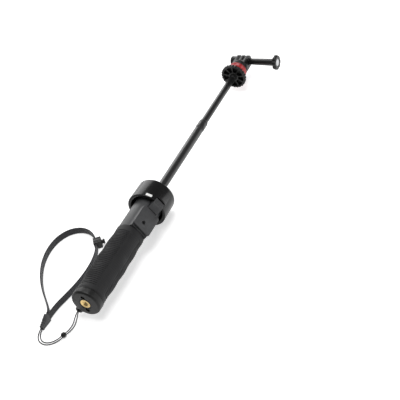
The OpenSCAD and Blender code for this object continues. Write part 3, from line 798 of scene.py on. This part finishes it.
screw = turn("cap_screw", [(22, 0), (22, 1.2), (2.4, 1.2), (2.4, 2.05), (1.6, 2.1), (0.95, 1.6),
                           (0.7, 0.8), (0.65, 0)], 32)
shape_with(screw, [settle(box("cross", (0.3, 1.6), (-1.25, 1.25), (-0.27, 0.27)), (a, 0, 0))
                   for a in (0, 90)])
lower = copy_of(screw, (-35, 0, 0), (0, 0, -8.6))
settle(screw, (20, 0, 0), (0, 0, 8.6))
only(screw, lower)
bpy.ops.object.join()
hand_over(screw, "black_steel", "handle", "cap_screws")

# %% [markdown]
# ## The neck, its cover plate and the screw
# Between the grip and the collar the handle narrows to a hard grey neck. Its channel, seats and
# screw holes are exact engineering shapes that the CAD already gives. So we take a copy of the
# CAD mesh, merge its loose triangles, dissolve the flat ones into whole faces, and only round
# the edges. The cover plate on it is new: a rounded slab with a screw well and a notch.

# %% Neck from a copy of the CAD mesh
def rounded_copy(name, node, width, sharper_than=38):
    """Merges a copy of a CAD node into clean faces, and rounds its sharp edges."""
    piece = bpy.data.objects.new(name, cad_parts[node].data.copy())
    bpy.context.scene.collection.objects.link(piece)
    only(piece)
    bpy.ops.mesh.customdata_custom_splitnormals_clear()
    bpy.ops.object.mode_set(mode="EDIT")
    bpy.ops.mesh.select_all(action="SELECT")
    bpy.ops.mesh.remove_doubles(threshold=2e-6)
    bpy.ops.mesh.dissolve_limited(angle_limit=radians(0.4))
    bpy.ops.object.mode_set(mode="OBJECT")
    return round_edges(piece, width, 2, sharper_than)


neck = rounded_copy("neck", "neck_housing", 0.2)
hand_over(neck, "grey_plastic", "handle", "neck_housing")

# %% Cover plate and its screw
plate_x = ends("cover_plate")
PLATE_SEAT, PLATE_FACE = 14.9, 17.6
SCREW_AT = (111.5, 0, 1.5)
plate = tile("plate", plate_x, 11.5, 2.5, 6, -PLATE_SEAT, PLATE_SEAT - PLATE_FACE)
round_edges(plate, 0.55, 3, 50)
well_line = [(-20, 0), (-20, 3), (-17.61, 2.6), (-17.2, 2.2), (-15.9, 2.2), (-15.9, 1.2),
             (-10, 1.2), (-10, 0)]
well = turn("screw_well", well_line, 32, axis="Y", centre=SCREW_AT)
notch = box("notch", (plate_x[1] - 2.6, 135), (-20, -14), (-7.6, -4.8))
shape_with(plate, [well, notch])
settle(plate, LATCH)
hand_over(plate, "grey_plastic", "handle", "cover_plate")

head_line = [(-10, 0), (-10, 1.1), (-15.9, 1.1), (-15.9, 2.0), (-16.5, 2.0), (-16.8, 1.7), (-16.8, 0)]
head = turn("plate_screw_head", head_line, 32, axis="Y", centre=SCREW_AT)
socket_line = [(-18, 0), (-18, 1.05), (-16.1, 1.0), (-15.9, 0)]
hexagon = turn("hexagon", socket_line, 6, axis="Y", centre=SCREW_AT)
settle(shape_with(head, [hexagon]), LATCH)
hand_over(head, "black_steel", "handle", "plate_screw")

# %% [markdown]
# ## The bumper collar
# The big glossy ring guards the mechanism. It is turned: a hollow skirt whose rim is rounded
# inside and out, and a rounded shoulder at the far end. A raised frame runs round the button's
# slot. It is a rounded slab cut to the collar's own curve by a larger cylinder, and joined on
# before the slot is cut. The pale mark is made the same way, and set in a pocket. It is a painted
# highlight: a white patch, shaped as a printed index mark, where the rim's glossy bevel mirrors light.

# %% Collar
rim_x, collar_end = ends("bumper_collar")
COLLAR_R, NECK_END = 22.0, 158
inner_rim = bow((rim_x + 2, 20), 2, 180, 270, 7)
outer_rim = bow((rim_x + 1, 21), 1, 90, 180, 5)
shoulder = bow((collar_end - 3, 18.6), 3.0, 86, 4, 9)
face_line = shifted(collar_end, [(0, 18.3), (0, 13.0), (-0.4, 12.8), (-0.4, 9.6), (0, 9.4), (0, 8.5)])
collar_line = [(NECK_END, 8.5), (NECK_END, 17.2), (NECK_END - 0.8, 18), *reversed(inner_rim),
               *reversed(outer_rim), (collar_end - 3.4, 21.6), *shoulder, *face_line]
collar = turn("collar", collar_line, 128, ring=True)


def curved_patch(name, x, half_width, radius, corner):
    """A rounded slab on the latch side whose top follows a cylinder of this radius."""
    patch = settle(tile(name, x, half_width, corner, 5, -19, -5), LATCH)
    return shape_with(patch, [turn("limit", rod(x[0] - 5, x[1] + 5, radius), 128)], "INTERSECT")


BUTTON_END, FRAME_HALF, FRAME_TOP, SLOT_HALF = 144.4, 7.6, COLLAR_R + 0.78, 6.4
raised = curved_patch("raised_frame", (rim_x + 1.2, BUTTON_END + 2.6), FRAME_HALF, FRAME_TOP, 2.8)
round_edges(raised, 0.35, 3, 50)
shape_with(collar, [raised], "UNION")
slot = settle(tile("slot", (rim_x - 5, BUTTON_END + 1.2), SLOT_HALF, 2.0, 4, -15.5, -9), LATCH)
SCREW_CIRCLE = 13.3
well_line = shifted(collar_end, [(-3, 0), (-3, 1.1), (-2, 1.1), (-2, 2.0), (-0.2, 2.0), (1, 2.6),
                                 (1, 0)])
screw_wells = [settle(turn("screw_well", well_line, 24, centre=(0, -SCREW_CIRCLE, 0)), (a, 0, 0))
               for a in (30, 150, 270)]
shape_with(collar, [slot, *screw_wells])
round_edges(collar, 0.16, 2, 40)

# %% Painted highlight mark
# Painted highlight: this white patch on the rim stands for a reflection of the light in the collar's glossy
# bevel.
HIGHLIGHT_MARK_ANGLE = -68
highlight_mark = tile("painted_highlight_mark", (rim_x + 1.3, rim_x + 4.5), 3.5, 0.7, 4, -21.35, -2)
settle(highlight_mark, (HIGHLIGHT_MARK_ANGLE, 0, 0))
shape_with(highlight_mark, [turn("limit", rod(rim_x, rim_x + 8, COLLAR_R + 0.1), 128)], "INTERSECT")
shape_with(collar, [copy_of(highlight_mark)])
hand_over(collar, "gloss_black", "handle", "bumper_collar")
hand_over(highlight_mark, "index_white", "handle", "collar_mark")

# %% [markdown]
# ## The release button
# Pressing it frees the pole. Its side view is drawn in one go: the foot, the ramp beside the
# cover plate, and a flat top with four fine grooves for the thumb. The face is then extruded
# across its width. An arm under the collar's skirt carries the brake plate.

# %% Button
TOP = 22.3
side_view = [(130.6, 14.6), (130.6, 17.7), (131.0, 18.3), (135.6, 21.6), (136.3, 22.05)]
for k in range(4):
    x = 137.4 + 1.6 * k
    side_view += [(x, TOP), (x + 0.3, TOP - 0.32), (x + 0.7, TOP - 0.32), (x + 1.0, TOP)]
side_view += [(BUTTON_END - 1, TOP), (BUTTON_END - 0.3, TOP - 0.25), (BUTTON_END, TOP - 0.9),
              (BUTTON_END, 14.6)]
button = slab("release", [(x, -r, -6) for x, r in side_view], (0, 0, 12))
round_edges(button, 0.35, 3, 60)
arm = round_edges(box("arm", (BUTTON_END - 1, 157), (-17.5, -14.6), (-3.5, 3.5)), 0.3, 2)
shape_with(button, [arm], "UNION")
shape_with(button, [turn("spring_seat", rod(-16.6, -13, 2.3), 24, axis="Y", centre=(140, 0, 0)),
                    box("brake_slot", (154, 156.4), (-16.4, -8), (-2.7, 2.7))])
settle(button, LATCH)
hand_over(button, "grey_plastic", "release", "release_button")

# %% Round the small parts inside the collar
small_parts = (("bush", "front_bush", 0.15, "nylon", "handle"),
               ("wiper", "wiper_seal", 0.2, "black_rubber", "handle"),
               ("collar_bolts", "collar_screws", 0.12, "black_steel", "handle"),
               ("brake", "brake_plate", 0.15, "steel", "release"),
               ("washer", "thrust_washer", 0.12, "black_steel", "head"))
for name, node, width, finish, body in small_parts:
    hand_over(rounded_copy(name, node, width), finish, body, node)

# %% [markdown]
# ## The telescoping tubes
# Two thin drawn tubes slide in each other. The middle one ends in a swaged ferrule, which
# grips the inner one. Each is a ring section turned round the axis: the real thing is hollow,
# and it shows at the ends.

# %% Tubes and ferrule
mid_x, inner_x, tip_x = ends("mid_tube"), ends("inner_tube"), ends("mid_ferrule")


def tube(name, x, radius, bore, grooves):
    """A tube with shallow rolled grooves round it at the given places."""
    outer = [(x[0], radius - 0.1), (x[0] + 0.1, radius)]
    for at in grooves:
        outer += [(at - 0.5, radius), (at - 0.2, radius - 0.14), (at + 0.2, radius - 0.14),
                  (at + 0.5, radius)]
    outer += [(x[1] - 0.1, radius), (x[1], radius - 0.1)]
    return turn(name, outer + [(x[1], bore), (x[0], bore)], 64, ring=True)


middle = tube("middle_tube", mid_x, 5.0, 4.4, (279.5,))
hand_over(middle, "black_tube", "mid_stage", "mid_tube")
thin = tube("thin_tube", inner_x, 4.0, 3.4, (239.5, 381.0))
hand_over(thin, "black_tube", "inner_stage", "inner_tube")
start, stop = tip_x
nose = [(stop - 2.4 + 2.4 * sin(radians(a)), 4.3 + 0.88 * cos(radians(a))) for a in range(0, 91, 15)]
ferrule_line = [(start, 5.0), (start + 0.05, 5.15), (start + 0.4, 5.22), (stop - 4.4, 5.22),
                (stop - 4.1, 5.02), (stop - 3.7, 5.02), (stop - 3.4, 5.2), *nose,
                (stop, 4.06), (mid_x[1], 4.06), (mid_x[1], 5.0)]
hand_over(turn("ferrule", ferrule_line, 64, ring=True), "black_tube", "mid_stage", "mid_ferrule")

# %% [markdown]
# ## The lock wheel
# Turning the wheel locks the camera's direction. Its face has nine deep pockets between
# spokes. The wheel is turned in 144 steps, so that each spoke is three faces wide and each
# pocket thirteen. The pocket faces are selected by their angle, and extruded inwards. The
# finger notches on the rim are vertices pushed in.

# %% Wheel
wheel_x, wheel_top = ends("lock_wheel")
WHEEL_R, SPOKES, NOTCHES, WHEEL_STEPS = 15.8, 9, 24, 144
STEP, NOTCH_STEPS = 360 / WHEEL_STEPS, WHEEL_STEPS // NOTCHES
rim_line = shifted(wheel_x, [(0.9, 13.1), (0.3, 13.6), (0, 14.2), (0, 15.0), (0.2, 15.5),
                             (0.6, WHEEL_R), (3.9, WHEEL_R), (4.7, 15.1)])
hub_line = shifted(wheel_x, [(5.8, 8.05), (5.8, 4.35), (0.3, 4.35), (0.1, 4.6), (0.1, 5.6), (0.9, 6.3)])
wheel_line = [*rim_line, (wheel_top - 0.6, 11.2), (wheel_top, 10.6), (wheel_top, 8.05), *hub_line]
wheel = turn("wheel", wheel_line, WHEEL_STEPS, ring=True)


def in_a_pocket(at, normal):
    """Faces on the handle's side, between spokes that are three steps wide."""
    angle, radius = round_the_pole(at)
    return normal.x < -0.9 and 7 < radius < 12 and (angle % (360 / SPOKES)) > 3 * STEP


def push_rim(steps_off, depth):
    """Pushes in the rim's vertices this many steps from the middle of each notch."""
    def wanted(at, _):
        angle, radius = round_the_pole(at)
        step = round(angle / STEP) % NOTCH_STEPS
        return radius > 14.8 and min(step, NOTCH_STEPS - step) == steps_off
    share = 1 - depth / WHEEL_R
    reshape(wheel, "VERT", wanted, bpy.ops.transform.resize, value=(1, share, share),
            center_override=(0, 0, 0))


reshape(wheel, "FACE", in_a_pocket, bpy.ops.mesh.extrude_region_move,
        TRANSFORM_OT_translate={"value": (3.9 * MM, 0, 0)})
for steps_off, depth in ((0, 0.8), (1, 0.5)):
    push_rim(steps_off, depth)
round_edges(wheel, 0.15, 2, 40)
hand_over(wheel, "black_plastic", "wheel", "lock_wheel")

# %% [markdown]
# ## The red ring and the camera mount
# The red ring flares out under the mount, and is the stick's only colour. Above it stand three
# prongs. They take the two prongs of a camera case, and a thumb screw clamps them. The foot is
# turned, one prong is drawn with its round end and copied twice, and all are joined into one
# moulding before the cross bore and the nut's hexagon are cut.

# %% Red ring
ring_x, mount_x = ends("red_ring")
flare = shifted(ring_x, [(0, 3.2), (0, 9.0), (0.15, 9.4), (0.6, 9.8), (1.2, 9.8), (1.4, 9.6),
                         (1.7, 9.6), (1.9, 9.8), (2.6, 9.82), (3.4, 10.15), (4.4, 10.85)])
lip = bow((ring_x + 5.5, 10.4), 0.9, 150, 0, 10)
ring_line = [*flare, *lip, (ring_x + 6.6, 10.2), (mount_x, 10.0), (mount_x, 3.2)]
hand_over(turn("red_collar", ring_line, 96, ring=True), "red_ring", "head", "red_ring")

# %% Mount with three prongs
PRONG_R, PRONG_T, PRONG_PITCH, BORE_R = 7.5, 3.0, 6.1, 2.6
pivot_x = sum(ends("knob_insert")) / 2
on_the_bolt = {"axis": "Y", "centre": (pivot_x, 0, 0)}
stack = 1.5 * PRONG_T + 3.1
boss_y = ends("mount_body", "Y")[1]
foot_line = shifted(mount_x, [(6, 0), (6, 5.2), (0, 5.2), (0, 9.2), (0.5, 9.6), (3.6, 10.3),
                              (4.2, 10.4), (4.9, 10.4), (5.5, 10.15), (6.2, 9.5), (6.4, 9.0), (6.4, 0)])
mount = turn("mount", foot_line, 96)
side = [(mount_x + 3, -PRONG_R), *bow((pivot_x, 0), PRONG_R, -90, 90, 24), (mount_x + 3, PRONG_R)]
prong = slab("prong", [(x, -PRONG_T / 2, z) for x, z in side], (0, PRONG_T, 0))
prongs = [copy_of(prong, moved=(0, y, 0)) for y in (-PRONG_PITCH, PRONG_PITCH)] + [prong]
block = box("prong_root", (mount_x + 3, pivot_x - PRONG_R - 0.6), (-stack, stack), (-PRONG_R, PRONG_R))
boss_line = [(stack - 1, 0), (stack - 1, 6), (boss_y - 0.8, 6), (boss_y, 5.4), (boss_y, 0)]
boss = turn("boss", boss_line, 48, **on_the_bolt)
shape_with(mount, [block, *prongs, boss], "UNION")
bore = turn("bore", rod(-stack - 1, boss_y + 1, BORE_R), 32, **on_the_bolt)
pocket_line = shifted(boss_y, [(-4.4, 0), (-4.4, 4.66), (-0.3, 4.66), (1, 5.6), (1, 0)])
hexagon = turn("hexagon", pocket_line, 6, **on_the_bolt)
shape_with(mount, [bore, hexagon])
round_edges(mount, 0.28, 2, 40)
hand_over(mount, "black_plastic", "head", "mount_body")

# %% Captive nut
nut_line = shifted(boss_y, [(-4.4, 0), (-4.4, 4.2), (-4.0, 4.6), (-0.8, 4.6), (-0.4, 4.1), (-0.4, 0)])
nut = turn("nut", nut_line, 6, **on_the_bolt)
hole_line = [(0, 0), (0, 2.5), (boss_y - 0.9, 2.5), (boss_y + 1, 3.6), (boss_y + 1, 0)]
shape_with(nut, [turn("hole", hole_line, 32, **on_the_bolt)])
round_edges(nut, 0.12, 2, 25)
hand_over(nut, "steel", "head", "captive_nut")

# %% [markdown]
# ## The thumb screw
# A steel bolt runs through the prongs into the nut. Its head is a long black barrel
# and a knob of eight lobes, so that fingers can turn it beside a camera case. The knob's
# dished end shows a small steel disc. Everything here is turned round the bolt's own axis,
# which crosses the pole, and the valleys between the lobes are vertices pushed in.

# %% Bolt with thread
THREADS = [(y, r) for k in range(27) for y, r in ((-6.9 + 0.8 * k, 2.42), (-6.5 + 0.8 * k, 2.08))]
bolt_line = [(-41.4, 0), (-41.4, 2.4), (-7.3, 2.4), *THREADS, (14.4, 2.2), (14.7, 1.9), (14.7, 0)]
bolt = turn("bolt", bolt_line, 32, **on_the_bolt)
hand_over(bolt, "steel", "clamp", "clamp_bolt", crease=25)

# %% Barrel and lobed knob
KNOB_R, KNOB_STEPS, LOBES = 9.0, 96, 8
KNOB_STEP, LOBE_STEPS = 360 / KNOB_STEPS, KNOB_STEPS // LOBES
knob_line = [(-8.8, 2.42), (-8.8, 3.3), (-9.0, 3.65), (-9.4, 3.88), (-40.6, 4.46), (-41.2, 4.8),
             (-41.5, 5.6), (-41.6, 7.9), (-41.9, 8.6), (-42.4, KNOB_R), (-45.4, KNOB_R), (-45.9, 8.7),
             (-46.25, 8.1), (-46.4, 7.4), (-46.4, 5.8), (-46.2, 4.9), (-45.9, 4.3), (-45.4, 4.2),
             (-45.4, 2.42)]
knob = turn("thumb_screw", knob_line, KNOB_STEPS, ring=True, **on_the_bolt)
for steps_off, depth in ((0, 0.80), (1, 0.70), (2, 0.42), (3, 0.08)):
    def in_a_valley(at, _, steps_off=steps_off):
        """The knob's outer vertices this many steps from the middle of a valley."""
        step = round(degrees(atan2(at.x - pivot_x, at.z)) / KNOB_STEP) % LOBE_STEPS
        radius = Vector((at.x - pivot_x, at.z)).length
        return at.y < -41.55 and radius > 7.0 and min(step, LOBE_STEPS - step) == steps_off
    share = 1 - depth / KNOB_R
    reshape(knob, "VERT", in_a_valley, bpy.ops.transform.resize, value=(share, 1, share),
            center_override=(pivot_x * MM, 0, 0))
hand_over(knob, "black_plastic", "clamp", "thumb_knob", crease=40)

# %% Steel inlay in the knob
inlay_line = [(-45.4, 0), (-45.4, 4.15), (-45.85, 4.15), (-46.0, 3.95), (-46.0, 3.1), (-45.85, 2.7),
              (-45.72, 2.5), (-45.7, 0)]
inlay = turn("knob_inlay", inlay_line, 64, **on_the_bolt)
hand_over(inlay, "steel", "clamp", "knob_insert", crease=30)

# %% [markdown]
# ## The parts inside
# The bushes, spring, stud and liner never show, or only through a gap. Their CAD meshes have
# the right shape already, so they stay, and only get their materials.

# %% Materials for the CAD nodes that stay
INSIDE = {"grip_core": "black_plastic", "end_buffer": "black_rubber", "guide_tube": "bare_aluminium",
          "button_spring": "steel", "mid_bush": "nylon", "inner_bush": "nylon", "tip_plug": "bare_aluminium",
          "head_stud": "steel", "wheel_nut": "brass", "mount_insert": "brass", "slider_spring": "steel"}
for node, finish in INSIDE.items():
    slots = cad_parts[node].data.materials
    if len(slots) == 0:
        slots.append(MATERIALS[finish])
    for k in range(len(slots)):
        slots[k] = MATERIALS[finish]
print("CAD nodes kept:", *INSIDE)
